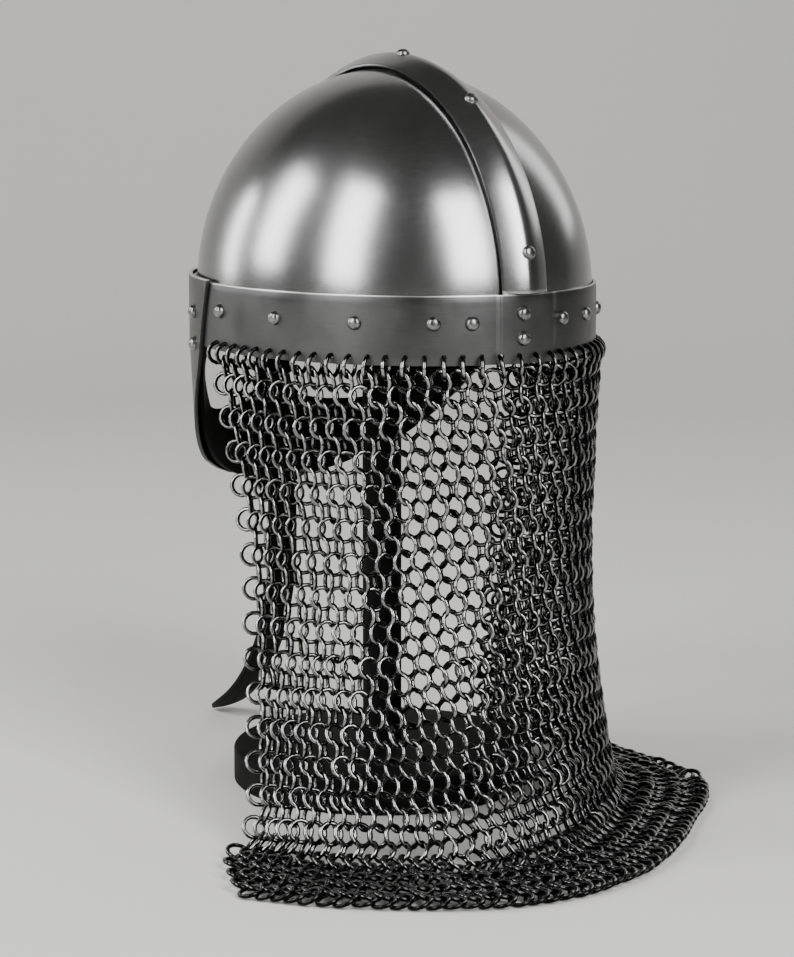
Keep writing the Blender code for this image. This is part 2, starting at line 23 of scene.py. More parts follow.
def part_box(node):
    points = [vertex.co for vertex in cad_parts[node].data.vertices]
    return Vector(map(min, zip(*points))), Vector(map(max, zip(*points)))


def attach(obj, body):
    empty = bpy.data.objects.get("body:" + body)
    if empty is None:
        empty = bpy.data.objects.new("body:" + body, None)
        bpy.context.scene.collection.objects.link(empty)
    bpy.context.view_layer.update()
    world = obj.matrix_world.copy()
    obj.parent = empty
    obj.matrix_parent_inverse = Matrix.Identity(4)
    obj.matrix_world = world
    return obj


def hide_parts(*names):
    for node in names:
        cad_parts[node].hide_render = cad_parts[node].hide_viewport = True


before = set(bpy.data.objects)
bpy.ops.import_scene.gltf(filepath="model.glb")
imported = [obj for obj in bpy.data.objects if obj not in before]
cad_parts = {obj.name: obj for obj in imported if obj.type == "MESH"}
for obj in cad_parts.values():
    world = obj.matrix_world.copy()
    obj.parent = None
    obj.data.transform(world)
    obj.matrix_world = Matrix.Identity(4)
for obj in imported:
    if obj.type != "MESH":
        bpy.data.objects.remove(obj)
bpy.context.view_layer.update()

LOG = logging.getLogger("helmet")
UP = Vector((0.0, 0.0, 1.0))
CLEAR = 0.0001  # sheets that lie on each other stand this much further off than the frame's gap
MERGE = 0.00001  # points closer than this are one point
SORT_WAY = Vector((1.0, 14.142, 173.21))  # points and faces are sorted along this


# Shader maths


class Signal:
    """A socket of a node tree that takes part in Python expressions."""

    def __init__(self, paint: "Paint", socket: bpy.types.NodeSocket) -> None:
        """Keep the socket and the paint whose tree it lives in."""
        self.paint = paint
        self.socket = socket

    def __add__(self, other: object) -> "Signal":
        """Add another signal or a value."""
        return self.paint.node("ShaderNodeMath", {"operation": "ADD"}, {0: self, 1: other})

    def __mul__(self, other: object) -> "Signal":
        """Multiply by another signal or a value."""
        return self.paint.node("ShaderNodeMath", {"operation": "MULTIPLY"}, {0: self, 1: other})

    def between(self, low: float, high: float) -> "Signal":
        """Return a soft step from 0 at low to 1 at high."""
        return self.paint.node(
            "ShaderNodeMapRange",
            {"interpolation_type": "SMOOTHSTEP", "clamp": True},
            {"Value": self, "From Min": low, "From Max": high, "To Min": 0.0, "To Max": 1.0},
        )


class Paint:
    """One material under construction."""

    def __init__(self, name: str) -> None:
        """Start a material of this name with a Principled shader."""
        self.material = bpy.data.materials.new(name)
        self.material.use_nodes = True
        self.tree = self.material.node_tree
        self.shader = self.tree.nodes["Principled BSDF"]

    def node(
        self, kind: str, settings: Optional[dict] = None, values: Optional[dict] = None,
        out: Union[int, str] = 0,
    ) -> Signal:
        """Add any node.

        Args:
            kind: The node's type.
            settings: Its properties.
            values: Values or signals by socket name or number.
            out: Name or number of the output that is wanted.

        Returns:
            The signal of that output.
        """
        made = self.tree.nodes.new(kind)
        for key, value in (settings or {}).items():
            setattr(made, key, value)
        for key, value in (values or {}).items():
            self.feed(made.inputs[key], value)
        return Signal(self, made.outputs[out])

    def feed(self, socket: bpy.types.NodeSocket, value: object) -> None:
        """Link a signal to a socket, or set its value."""
        if isinstance(value, Signal):
            self.tree.links.new(value.socket, socket)
        else:
            socket.default_value = (*value, 1.0) if socket.type == "RGBA" else value

    def spot(self) -> Signal:
        """Return the Object coordinates."""
        return self.node("ShaderNodeTexCoord", out="Object")

    def noise(
        self, scale: Union[float, Sequence[float]], detail: float = 3.0, rough: float = 0.55,
        turn: Sequence[float] = (0.0, 0.0, 0.0),
    ) -> Signal:
        """Return a noise from 0 to 1.

        Args:
            scale: Features per metre, all round or along each axis.
            detail: Octaves of finer noise.
            rough: Strength of the finer noise.
            turn: Turn of the pattern in radians.

        Returns:
            The noise's factor.
        """
        along = (scale,) * 3 if isinstance(scale, float) else scale
        spot = self.node(
            "ShaderNodeMapping", None, {"Vector": self.spot(), "Scale": along, "Rotation": turn}
        )
        values = {"Vector": spot, "Scale": 1.0, "Detail": detail, "Roughness": rough}
        return self.node("ShaderNodeTexNoise", None, values)

    def blend(self, factor: object, first: object, second: object) -> Signal:
        """Return a colour between two colours."""
        values = {0: factor, 6: first, 7: second}
        return self.node("ShaderNodeMix", {"data_type": "RGBA"}, values, out=2)

    def relief(self, height: Signal, strength: float, depth: float) -> Signal:
        """Return a bumped normal from a height signal."""
        return self.node(
            "ShaderNodeBump", None, {"Height": height, "Strength": strength, "Distance": depth}
        )

    def dress(self, **values: object) -> Material:
        """Feed the shader's sockets; an underscore stands for a blank.

        Returns:
            The finished material.
        """
        for key, value in values.items():
            name = key.replace("_", " ").title().replace("Ior", "IOR")
            self.feed(self.shader.inputs[name], value)
        return self.material


# Finishes


@dataclass(frozen=True)
class PolishedSteel:
    """Satin polished sheet with a fine grain, clouded by handling."""

    name: str = "satin_polished_steel"
    light: tuple = (0.40, 0.40, 0.398)
    dark: tuple = (0.28, 0.281, 0.283)
    gloss: float = 0.18
    haze: float = 0.03

    def make(self) -> Material:
        """Return the material."""
        paint = Paint(self.name)
        clouds = paint.noise((14.0, 14.0, 9.0), 4.0, 0.6)
        grain = paint.noise((260.0, 260.0, 2600.0), 2.0, 0.6)
        hairs = paint.noise((900.0, 900.0, 110.0), 2.0, 0.5, (0.5, 0.2, 0.0))
        tint = clouds.between(0.30, 0.72) * 0.45 + grain * 0.5
        mottled = clouds.between(0.35, 0.75) * self.haze + grain * 0.08
        return paint.dress(
            base_color=paint.blend(tint, self.dark, self.light),
            metallic=1.0,
            roughness=mottled + self.gloss,
            normal=paint.relief(grain * 0.7 + hairs * 0.3, 0.10, 0.0002),
        )


@dataclass(frozen=True)
class DarkSteel:
    """Dull brushed sheet, whose upper edge has been rubbed bright."""

    name: str
    top: float
    light: tuple = (0.125, 0.125, 0.124)
    dark: tuple = (0.052, 0.0525, 0.054)
    bright: tuple = (0.62, 0.62, 0.60)
    edge: float = 0.0009
    gloss: float = 0.27

    def make(self) -> Material:
        """Return the material."""
        paint = Paint(self.name)
        clouds = paint.noise((30.0, 30.0, 24.0), 4.0, 0.65)
        grain = paint.noise((90.0, 90.0, 2400.0), 3.0, 0.6)
        marks = paint.noise((700.0, 700.0, 90.0), 2.0, 0.5, (0.3, 0.6, 0.0))
        height = paint.node("ShaderNodeSeparateXYZ", None, {0: paint.spot()}, out="Z")
        rubbed = height.between(self.top - self.edge, self.top)
        body = paint.blend(clouds * 0.7 + grain * 0.4, self.dark, self.light)
        return paint.dress(
            base_color=paint.blend(rubbed, body, self.bright),
            metallic=1.0,
            roughness=clouds.between(0.3, 0.8) * 0.16 + grain * 0.10 + self.gloss,
            normal=paint.relief(grain * 0.6 + marks * 0.4, 0.22, 0.0002),
        )


@dataclass(frozen=True)
class RivetSteel:
    """Bright hammered and polished heads."""

    name: str = "polished_rivets"
    light: tuple = (0.28, 0.28, 0.277)
    dark: tuple = (0.12, 0.12, 0.12)

    def make(self) -> Material:
        """Return the material."""
        paint = Paint(self.name)
        clouds = paint.noise(420.0, 3.0, 0.6)
        dents = paint.noise(650.0, 1.0, 0.4)
        return paint.dress(
            base_color=paint.blend(clouds.between(0.3, 0.7), self.dark, self.light),
            metallic=1.0,
            roughness=clouds * 0.16 + 0.22,
            normal=paint.relief(dents, 0.25, 0.0004),
        )


@dataclass(frozen=True)
class MailWire:
    """Wire painted near black as shade on its sides, with a painted highlight where it faces out
    of the net.
    """

    name: str = "mail_wire"
    # light and grey: colours of the painted highlight; dark: near-black painted shade on the
    # wire's sides
    light: tuple = (0.46, 0.46, 0.455)
    grey: tuple = (0.20, 0.20, 0.20)
    dark: tuple = (0.008, 0.008, 0.008)

    def make(self) -> Material:
        """Return the material."""
        paint = Paint(self.name)
        rows = paint.noise(16.0, 3.0, 0.6)
        rings = paint.noise(170.0, 2.0, 0.6)
        pits = paint.noise(2200.0, 2.0, 0.5)
        tint = rings.between(0.35, 0.70) * 0.65 + rows.between(0.3, 0.7) * 0.35
        # The mask runs from the wire's sides, painted near black as shade, to the parts facing out
        # of the net, painted bright as a highlight.
        painted_light_mask = paint.node("ShaderNodeAttribute", {"attribute_name": "painted_light_mask"}, out="Fac")
        mottled = paint.blend(tint, self.grey, self.light)
        return paint.dress(
            base_color=paint.blend(painted_light_mask.between(0.45, 0.98), self.dark, mottled),
            metallic=1.0,
            roughness=rings * 0.10 + pits * 0.06 + 0.11,
            normal=paint.relief(pits, 0.18, 0.0002),
        )


@dataclass(frozen=True)
class BlackPaint:
    """Matt black paint on turned wood."""

    name: str = "black_stand_paint"
    colour: tuple = (0.005, 0.005, 0.005)
    dusty: tuple = (0.012, 0.012, 0.011)

    def make(self) -> Material:
        """Return the material."""
        paint = Paint(self.name)
        dust = paint.noise((40.0, 40.0, 60.0), 4.0, 0.6)
        skin = paint.noise(1500.0, 2.0, 0.5)
        return paint.dress(
            base_color=paint.blend(dust.between(0.45, 0.8), self.colour, self.dusty),
            metallic=0.0,
            specular_ior_level=0.03,
            roughness=dust * 0.18 + 0.50,
            normal=paint.relief(skin, 0.15, 0.0002),
        )


@dataclass(frozen=True)
class BlackLeather:
    """Smooth black leather with a fine grain."""

    name: str = "black_strap_leather"
    colour: tuple = (0.005, 0.005, 0.005)
    rubbed: tuple = (0.018, 0.017, 0.016)

    def make(self) -> Material:
        """Return the material."""
        paint = Paint(self.name)
        wear = paint.noise((60.0, 60.0, 45.0), 4.0, 0.6)
        pores = paint.node(
            "ShaderNodeTexVoronoi",
            {"feature": "DISTANCE_TO_EDGE"},
            {"Vector": paint.spot(), "Scale": 1100.0},
        )
        grain = pores.between(0.0, 0.25) * 0.7 + paint.noise(500.0) * 0.3
        return paint.dress(
            base_color=paint.blend(wear.between(0.5, 0.85), self.colour, self.rubbed),
            metallic=0.0,
            specular_ior_level=0.05,
            roughness=wear * 0.2 + 0.42,
            normal=paint.relief(grain, 0.35, 0.0003),
        )


# Forms shared by the pieces


def corners(node: str) -> tuple:
    """Return the low and the high corner of a node's box in the frame."""
    low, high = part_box(node)
    return Vector(low), Vector(high)


def ease(share: float) -> float:
    """Return a smooth step from 0 to 1."""
    share = min(1.0, max(0.0, share))
    return share * share * (3.0 - 2.0 * share)


def stood(seat: Vector, out: Vector) -> Matrix:
    """Return the placing that stands a form on a seat, with its Z axis along out."""
    return Matrix.Translation(seat) @ out.to_track_quat("Z", "Y").to_matrix().to_4x4()


def mesh_from(name: str, bm: BMesh) -> bpy.types.Mesh:
    """Turn a bmesh into a mesh and free it."""
    mesh = bpy.data.meshes.new(name)
    bm.to_mesh(mesh)
    bm.free()
    return mesh


def put(name: str, data: bpy.types.ID) -> bpy.types.Object:
    """Make an object from its data and link it into the scene."""
    made = bpy.data.objects.new(name, data)
    bpy.context.scene.collection.objects.link(made)
    return made


def spin(bm: BMesh, geom: list, steps: int) -> None:
    """Spin geometry a whole turn round Z; the sorting gives each run the same order."""
    bmesh.ops.spin(
        bm, geom=geom, cent=(0, 0, 0), axis=(0, 0, 1), angle=math.tau, steps=steps, use_merge=True
    )
    bmesh.ops.remove_doubles(bm, verts=bm.verts[:], dist=MERGE)
    bm.verts.sort(key=lambda vert: vert.co.dot(SORT_WAY))
    bm.faces.sort(key=lambda face: face.calc_center_median().dot(SORT_WAY))


def smooth(mesh: bpy.types.Mesh) -> None:
    """Shade every face of a mesh smooth."""
    mesh.polygons.foreach_set("use_smooth", [True] * len(mesh.polygons))


@dataclass
class Form:
    """The oval of the brow band and the curve of the dome, read from the frame."""

    sheet: float = 0.0016
    gap: float = 0.0003
    skirt: float = 0.018
    slim: float = 0.004
    strap_width: float = 0.026
    crease: float = 0.005
    crease_grow: float = 0.006
    crease_clear: float = 0.0004
    lap_side: float = 0.0022
    lap_run: float = 0.007
    half_a: float = field(init=False)
    half_b: float = field(init=False)
    back: float = field(init=False)
    side: float = field(init=False)
    depth: float = field(init=False)
    equator: float = field(init=False)
    rise: float = field(init=False)

    def __post_init__(self) -> None:
        """Read the dome and the band from the frame."""
        low, high = corners("dome")
        self.side = (high.x - low.x) / 2
        self.depth = (high.y - low.y) / 2
        self.back = (high.y + low.y) / 2
        self.equator = low.z + self.skirt
        self.rise = high.z - self.equator
        self.half_b = self.side + self.sheet + self.strap_off
        self.half_a = self.depth + self.sheet + self.strap_off
        self.runs = self.arc_table()

    @property
    def strap_off(self) -> float:
        """How far the strap's underside stands off the dome."""
        return self.gap + CLEAR

    @property
    def lap(self) -> float:
        """How far the band stands out over the strap ends."""
        return self.gap + self.sheet

    @property
    def lap_half(self) -> float:
        """Half the turn over which the band stands fully out."""
        return math.degrees((self.strap_width / 2 + self.lap_side) / self.half_b)

    def oval(self, turn: float, off: float, z: float) -> Vector:
        """Return a point on the band's oval, moved outwards by off."""
        angle = math.radians(turn)
        return Vector((
            (self.half_b + off) * math.sin(angle),
            self.back + (self.half_a + off) * math.cos(angle),
            z,
        ))

    def normal(self, turn: float) -> Vector:
        """Return the level outward direction of the oval at a turn."""
        angle = math.radians(turn)
        return Vector((
            math.sin(angle) / self.half_b, math.cos(angle) / self.half_a, 0.0
        )).normalized()

    def arc_table(self) -> np.ndarray:
        """Return the run along the oval from the front, for each tenth of a degree."""
        angles = np.radians(180.0 - np.arange(1801) / 10)
        spots = np.stack([self.half_b * np.sin(angles), self.half_a * np.cos(angles)], 1)
        steps = np.linalg.norm(np.diff(spots, axis=0), axis=1)
        return np.concatenate([[0.0], np.cumsum(steps)])

    def turn_at(self, run: float) -> float:
        """Return the turn of a point that lies this run from the front."""
        turn = 180.0 - float(np.interp(abs(run), self.runs, np.arange(1801))) / 10
        return turn if run >= 0 else -turn

    def run_at(self, turn: float) -> float:
        """Return the run from the front of a turn."""
        run = float(np.interp((180.0 - abs(turn)) * 10, np.arange(1801), self.runs))
        return run if turn >= 0 else -run

    def share_turn(self, part: float, left: float, right: float) -> float:
        """Return the turn at a share of the arc from a left turn to a right one."""
        half = self.run_at(0.0)
        start = half - self.run_at(left)
        end = half - self.run_at(right)
        run = start - (start + end) * part
        return self.turn_at(half - run) if run >= 0 else -self.turn_at(half + run)

    def lift(self, turn: float, sharp_left: float = 1.0) -> float:
        """Return how far the band stands out at a turn.

        Args:
            turn: Turn from the back.
            sharp_left: Share of the usual run in which the left side steps down.

        Returns:
            The distance by which the sheet is set out.
        """
        signed = (turn + 180.0) % 360.0 - 180.0
        at_back = abs(signed) < 90.0
        size = abs(signed) if at_back else 180.0 - abs(signed)
        run = math.degrees(self.lap_run / self.half_b)
        if at_back and signed > 0:
            run *= sharp_left
        return self.lap * (1.0 - ease((size - self.lap_half) / run))

    def skull(self, unit: Vector, off: float, drop: float = 0.0) -> Vector:
        """Return a point over the dome's outside.

        Args:
            unit: Direction from the dome's centre, of length 1.
            off: Distance outwards from the sheet.
            drop: Distance below the dome's equator.

        Returns:
            The point.
        """
        flat = math.sqrt(max(0.0, 1.0 - unit.z**2))
        squeeze = 1.0 - self.slim * 2.0 * unit.z * flat
        point = Vector((
            self.side * unit.x * squeeze,
            self.depth * unit.y * squeeze + self.back,
            self.rise * unit.z + self.equator - drop,
        ))
        out = Vector((unit.x / self.side, unit.y / self.depth, unit.z / self.rise))
        return point + out.normalized() * off

    def crease_at(self, place: float, band_top: float) -> float:
        """Return the rise of the strap's crease at a path angle from the back."""
        side = min(place, math.pi - place)
        clear = math.asin((band_top + self.crease_clear - self.equator) / self.rise)
        return self.crease * ease((side - clear) / self.crease_grow)


@dataclass
class Maker:
    """Turns a bmesh into a finished piece of the scene."""

    sharp: float = 38.0
    true_edge: float = 50.0
    inwards: float = -0.2

    def piece(
        self, name: str, bm: BMesh, material: Material, nodes: Sequence[str], slot: str,
        wall: float = 0.0, edge: float = 0.0, cutters: Optional[BMesh] = None,
        normals: bool = True, inside: Optional[Material] = None,
    ) -> None:
        """Make a piece, give its sheet a wall, round its edges and dress it.

        Args:
            name: Name of the piece.
            bm: Its mesh, which is used up.
            material: Its material.
            nodes: CAD nodes that it stands for.
            slot: Not used.
            wall: Thickness that the surface gets inwards, or 0 for a closed mesh.
            edge: Width of the rounding of its sharp edges, or 0.
            cutters: A mesh that is cut away, or None.
            normals: Whether the normals are worked out again first.
            inside: Another material for the faces that look towards the helmet's axis.
        """
        if normals:
            bmesh.ops.recalc_face_normals(bm, faces=bm.faces[:])
        made = put(name, mesh_from(name, bm))
        if wall:
            thick = made.modifiers.new("wall", "SOLIDIFY")
            thick.thickness = wall
            thick.offset = -1.0
            thick.use_even_offset = True
        if edge:
            rounding = made.modifiers.new("edge", "BEVEL")
            rounding.width = edge
            rounding.segments = 2
            rounding.limit_method = "ANGLE"
            rounding.angle_limit = math.radians(self.true_edge)
        tool = put(name + "_cutter", mesh_from(name + "_cutter", cutters)) if cutters else None
        if tool:
            cut = made.modifiers.new("cut", "BOOLEAN")
            cut.operation = "DIFFERENCE"
            cut.solver = "EXACT"
            cut.object = tool
        self.settle(made)
        if tool:
            bpy.data.objects.remove(tool, do_unlink=True)
        made.data.materials.append(material)
        # Faces that look inwards get the second material; on the face guard this is near-black
        # painted shade.
        if inside:
            made.data.materials.append(inside)
            for face in made.data.polygons:
                level = Vector((face.center.x, face.center.y, 0.0)).normalized()
                face.material_index = int(face.normal.dot(level) < self.inwards)
        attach(made, "root")
        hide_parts(*nodes)
        LOG.info("%s: %d faces", name, len(made.data.polygons))

    def settle(self, made: bpy.types.Object) -> None:
        """Apply the modifiers and shade smooth, with true edges kept sharp."""
        if made.modifiers:
            bpy.context.view_layer.update()
            shown = made.evaluated_get(bpy.context.evaluated_depsgraph_get())
            old = made.data
            made.data = bpy.data.meshes.new_from_object(shown)
            made.modifiers.clear()
            bpy.data.meshes.remove(old)
            made.data.name = made.name
        made.data.materials.clear()
        smooth(made.data)
        made.data.set_sharp_from_angle(angle=math.radians(self.sharp))


def bent_grid(columns: int, rows: int, spot: Callable[[float, float], Vector]) -> BMesh:
    """Bend a flat grid into a surface.

    Args:
        columns: Squares across.
        rows: Squares along.
        spot: Gives the place of a point from its shares 0..1 across and along.

    Returns:
        The mesh.
    """
    bm = bmesh.new()
    bmesh.ops.create_grid(bm, x_segments=columns, y_segments=rows, size=0.5)
    for vert in bm.verts:
        vert.co = spot(vert.co.x + 0.5, vert.co.y + 0.5)
    return bm


def lathe(profile: Sequence[tuple], steps: int) -> BMesh:
    """Spin a profile round the upright axis.

    Args:
        profile: Radius and height of its points.
        steps: Steps of the full turn.

    Returns:
        The mesh, with its poles merged.
    """
    bm = bmesh.new()
    verts = [bm.verts.new((radius, 0.0, z)) for radius, z in profile]
    edges = [bm.edges.new(pair) for pair in zip(verts, verts[1:])]
    spin(bm, verts + edges, steps)
    return bm


# Sub-assemblies


@dataclass
class Skullcap:
    """The dome and the creased strap over it."""

    form: Form
    maker: Maker
    band_top: float
    around: int = 144
    up: int = 44
    sheet: float = 0.0013
    strap_rows: int = 400
    fold_soft: float = 0.14

    def build(self, steel: Material) -> None:
        """Build both pieces."""
        self.dome(steel)
        self.strap(steel)

    def dome(self, steel: Material) -> None:
        """Spin the skull's outline and squash it to the helmet's oval."""
        form = self.form
        profile = [(1.0, -form.skirt), (1.0, -form.skirt / 2)]
        for i in range(self.up + 1):
            angle = math.pi / 2 * i / self.up
            profile.append((math.cos(angle), math.sin(angle)))
        bm = lathe(profile, self.around)
        for vert in bm.verts:
            drop = max(0.0, -vert.co.z)
            unit = Vector((vert.co.x, vert.co.y, max(0.0, vert.co.z))).normalized()
            vert.co = form.skull(unit, 0.0, drop)
        self.maker.piece("dome_shell", bm, steel, ["dome"], "polished_steel", form.sheet, 0.0003)

    def strap_spot(self, across: float, along: float, off: float) -> Vector:
        """Return a point of the strap from its shares across and along."""
        form = self.form
        ends = form.skirt / (form.rise * math.pi + 2 * form.skirt)
        drop = form.skirt * max(0.0, 1.0 - min(along, 1.0 - along) / ends)
        place = math.pi * min(1.0, max(0.0, (along - ends) / (1.0 - 2 * ends)))
        side = across * 2.0 - 1.0
        sideways = side * form.strap_width / 2 / form.half_b
        keep = math.sqrt(1.0 - sideways**2)
        unit = Vector((sideways, keep * math.cos(place), keep * math.sin(place)))
        soft = math.sqrt(side * side + self.fold_soft**2)
        top = math.sqrt(1.0 + self.fold_soft**2)
        fold = form.crease_at(place, self.band_top) * (top - soft) / (top - self.fold_soft)
        return form.skull(unit, off + fold, drop)

    def strap(self, steel: Material) -> None:
        """Bend a long grid over the dome, with a crease along its middle."""
        off = self.form.strap_off + self.sheet
        bm = bent_grid(20, self.strap_rows, lambda u, v: self.strap_spot(u, v, off))
        self.maker.piece(
            "ridge_strap_sheet", bm, steel, ["ridge_strap"], "polished_steel",
            self.sheet, 0.0005,
        )


@dataclass
class BrowBand:
    """The hoop round the brow, with its lap over the strap end and its holes."""

    form: Form
    maker: Maker
    hole: float = 0.0026
    hole_rise: float = 0.0042
    drill: float = 0.012
    bulge: float = 0.0003
    columns: int = 420
    rows: int = 8
    step_share: float = 0.14
    low: float = field(init=False)
    high: float = field(init=False)

    def __post_init__(self) -> None:
        """Read the band's heights from the frame."""
        self.low, self.high = (corner.z for corner in corners("brow_band"))

    def build(self, steel: Material, turns: Sequence[float]) -> None:
        """Build the hoop and cut a hole at each of the given turns."""
        form = self.form

        def spot(across: float, along: float) -> Vector:
            turn = across * 360.0 - 180.0
            z = self.low + (self.high - self.low) * along
            bulge = self.bulge * math.sin(math.pi * along)
            return form.oval(turn, form.lift(turn, self.step_share) + bulge, z)

        bm = bent_grid(self.columns, self.rows, spot)
        bmesh.ops.remove_doubles(bm, verts=bm.verts[:], dist=MERGE)
        tools = bmesh.new()
        for turn in turns:
            seat = form.oval(turn, form.lift(turn), self.low + self.hole_rise)
            bmesh.ops.create_cone(
                tools, cap_ends=True, segments=12, radius1=self.hole / 2,
                radius2=self.hole / 2, depth=self.drill, matrix=stood(seat, form.normal(turn)),
            )
        self.maker.piece(
            "brow_band_hoop", bm, steel, ["brow_band"], "dark_steel", form.sheet, 0.0003, tools
        )


@dataclass
class FaceGuard:
    """The guard over the eyes and nose, bent round the band."""

    form: Form
    maker: Maker
    sheet: float = 0.002
    rear: float = 0.152
    step: float = 0.013
    rear_drop: float = 0.002
    corner: float = 0.075
    curve: float = 1.2
    lean: float = 0.07
    cheek: float = 0.168
    bottom: float = 0.156
    nasal_half: float = 0.010
    nasal_drop: float = 0.019
    eye_inner: float = 0.0095
    eye_outer: float = 0.067
    eye_bottom: float = 0.195
    eye_top: float = 0.232
    eye_power: float = 0.7
    cheek_curve: tuple = ((0.77, 0.50), (0.56, 0.86), (0.40, 1.0))
    nasal_curve: tuple = ((1.1, 0.5), (0.7, 0.85), (0.3, 1.0))
    strip: float = 0.003
    level: float = 0.004

    def outline(self, band_low: float, top: float) -> list:
        """Return the right half of the outline as run and height."""
        bend = band_low - self.rear_drop
        cheek = self.rear - self.step
        points = [(0.0, top), (self.rear, top), (cheek, bend)]
        flat = cheek - self.corner
        for i in range(1, 31):
            angle = math.pi / 2 * i / 30
            run = flat + self.corner * max(0.0, math.cos(angle)) ** (2 / self.curve)
            fall = math.sin(angle) ** (2 / self.curve)
            points.append((run, bend - (bend - self.cheek) * fall))
        for share, fall in self.cheek_curve:
            points.append((flat * share, self.cheek - (self.cheek - self.bottom) * fall))
        for share, drop in self.nasal_curve:
            points.append((self.nasal_half * share, self.bottom - self.nasal_drop * drop))
        return points

    def eye(self) -> list:
        """Return the right eye opening as run and height."""

        def along(share: float, low: float, high: float) -> float:
            bent = math.copysign(abs(share) ** self.eye_power, share)
            return (low + high) / 2 + (high - low) / 2 * bent

        turns = [math.tau * i / 48 for i in range(48)]
        return [
            (along(math.cos(turn), self.eye_inner, self.eye_outer),
             along(math.sin(turn), self.eye_bottom, self.eye_top))
            for turn in turns
        ]

    def build(self, steel: Material, black: Material, band_low: float) -> None:
        """Fill the flat outline, cut it in strips and bend it round the band."""
        form = self.form
        low, high = corners("face_guard")
        flat = bmesh.new()
        right = self.outline(band_low, high.z)
        left = [(-run, z) for run, z in reversed(right[1:])]
        eye = self.eye()
        edges = []
        for loop in (right + left, eye, [(-run, z) for run, z in eye]):
            verts = [flat.verts.new((run, 0.0, z)) for run, z in loop]
            ends = verts[1:] + verts[:1]
            edges += [flat.edges.new(pair) for pair in zip(verts, ends)]
        bmesh.ops.triangle_fill(flat, edges=edges, use_beauty=True)
        count = int(self.rear / self.strip)
        for i in range(-count, count + 1):
            self.slice(flat, (i * self.strip, 0, 0), (1, 0, 0))
        for i in range(int(low.z / self.level), int(high.z / self.level) + 1):
            self.slice(flat, (0, 0, i * self.level), (0, 0, 1))
        for vert in flat.verts:
            turn = form.turn_at(vert.co.x)
            inwards = math.sin(math.radians(turn)) ** 2 * self.lean
            off = form.strap_off + self.sheet + form.lift(turn)
            off -= max(0.0, band_low - vert.co.z) * inwards
            vert.co = form.oval(turn, off, vert.co.z)
        bmesh.ops.recalc_face_normals(flat, faces=flat.faces[:])
        middle = Vector((0.0, form.back, band_low))
        if sum(face.normal.dot(face.calc_center_median() - middle) for face in flat.faces) < 0:
            bmesh.ops.reverse_faces(flat, faces=flat.faces[:])
        # The guard's faces that look towards the helmet's axis get near-black paint as painted
        # shade.
        self.maker.piece(
            "face_guard_sheet", flat, steel, ["face_guard"], "dark_steel", self.sheet, 0.0004,
            normals=False, inside=black,
        )

    @staticmethod
    def slice(bm: BMesh, spot: Sequence[float], way: Sequence[float]) -> None:
        """Cut the whole mesh along a plane."""
        parts = bm.verts[:] + bm.edges[:] + bm.faces[:]
        bmesh.ops.bisect_plane(bm, geom=parts, dist=MERGE, plane_co=spot, plane_no=way)


@dataclass
class RivetRow:
    """Domed heads, each where the frame has one."""

    form: Form
    maker: Maker
    band_top: float
    size: float = 0.0074
    rise: float = 0.0032
    rim: float = 0.0006
    deep: float = 0.0004
    ridge_deep: float = 0.0014
    sides: int = 24

    def head(self, deep: float) -> BMesh:
        """Return one head: a low dome on an upright rim that reaches down by deep."""
        radius = self.size / 2
        profile = [(0.0, -deep), (radius * 0.96, -deep), (radius, self.deep)]
        for i in range(9):
            angle = math.pi / 2 * i / 8
            profile.append((
                radius * (0.97 * math.cos(angle)) ** 0.85 if i < 8 else 0.0,
                self.rim + (self.rise - self.rim) * math.sin(angle),
            ))
        return lathe(profile, self.sides)

    def build(self, name: str, nodes: Sequence[str], steel: Material) -> None:
        """Set one head on each of the nodes and join them into a piece.

        Args:
            name: Name of the piece.
            nodes: The rivets' nodes in the frame.
            steel: Their material.
        """
        whole = bmesh.new()
        for node in nodes:
            low, high = corners(node)
            single = self.head(self.ridge_deep if node.startswith("ridge") else self.deep)
            placing = stood(*self.seat(node, (low + high) / 2))
            bmesh.ops.transform(single, matrix=placing, verts=single.verts[:])
            mesh = mesh_from("head", single)
            whole.from_mesh(mesh)
            bpy.data.meshes.remove(mesh)
        self.maker.piece(name, whole, steel, nodes, "rivet_steel")

    def seat(self, node: str, middle: Vector) -> tuple:
        """Return the seat and the outward direction of a rivet of the frame."""
        form = self.form
        if node.startswith("ridge"):
            place = math.atan2(
                (middle.z - form.equator) / form.rise, (middle.y - form.back) / form.depth
            )
            unit = Vector((0.0, math.cos(place), math.sin(place)))
            out = Vector((0.0, unit.y / form.depth, unit.z / form.rise)).normalized()
            off = form.strap_off + form.sheet + form.crease_at(place, self.band_top)
            return form.skull(unit, off), out
        turn = math.degrees(math.atan2(
            middle.x / form.half_b, (middle.y - form.back) / form.half_a
        ))
        out = form.normal(turn)
        return middle - out * (self.rise / 2 - CLEAR), out


class Lean(Enum):
    """The side to which a row of rings leans."""

    LEFT = 1.0
    RIGHT = -1.0


